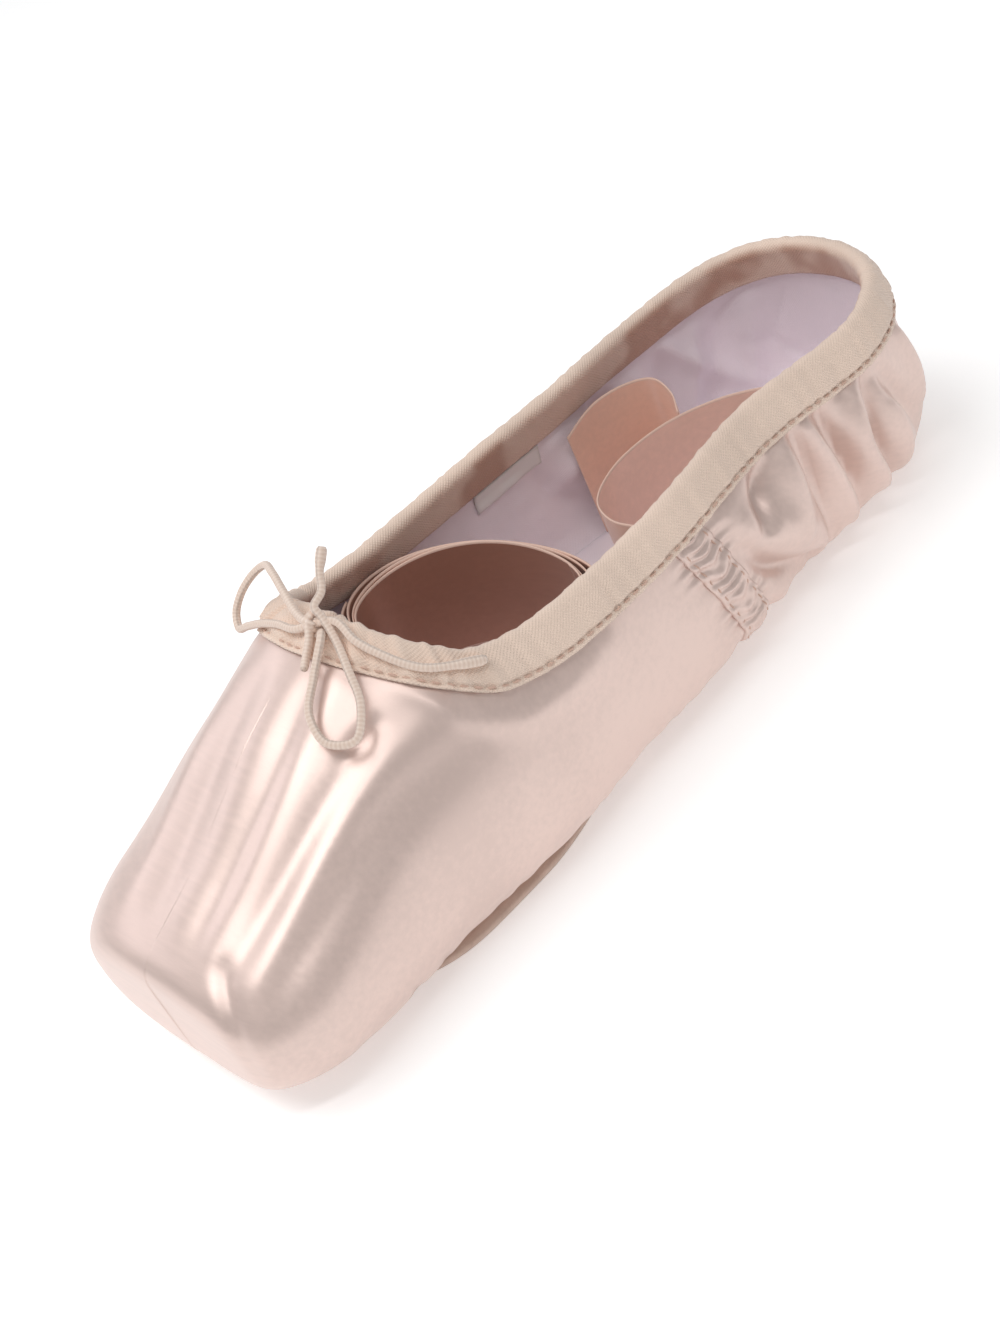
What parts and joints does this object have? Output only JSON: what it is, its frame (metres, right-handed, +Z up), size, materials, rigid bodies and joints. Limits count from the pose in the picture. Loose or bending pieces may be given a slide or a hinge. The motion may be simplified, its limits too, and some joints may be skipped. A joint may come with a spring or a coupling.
{
  "type": "pointe shoe",
  "caption": "Satin ballet pointe shoe with a stiff flat-ended toe box, short leather outsole, taped collar with a drawstring bow, and ribbons tucked inside.",
  "frame": {"origin": "on the floor under the middle of the shoe, without its drawstring and ribbons", "axes": "+X to the toe, +Y to the wearer's left, +Z up"},
  "size_m": [0.205, 0.067, 0.0697],
  "materials": {
    "suede": "brushed suede",
    "satin": "satin",
    "lining_cloth": "matt cotton",
    "cotton_tape": "matt cotton tape",
    "cotton_cord": "matt cotton",
    "ribbon_satin": "satin"
  },
  "bodies": {
    "root": {"outsole": "suede", "upper": "satin", "insole": "lining_cloth", "binding": "cotton_tape", "heel_strip": "satin", "seam_band_left": "satin", "seam_band_right": "satin", "drawstring_knot": "cotton_cord", "drawstring_loop_far": "cotton_cord", "drawstring_loop_near": "cotton_cord", "drawstring_end_up": "cotton_cord", "drawstring_end_side": "cotton_cord", "drawstring_feed": "cotton_cord", "ribbon_roll": "ribbon_satin", "ribbon_near": "ribbon_satin", "ribbon_far": "ribbon_satin"}
  },
  "joints": []
}
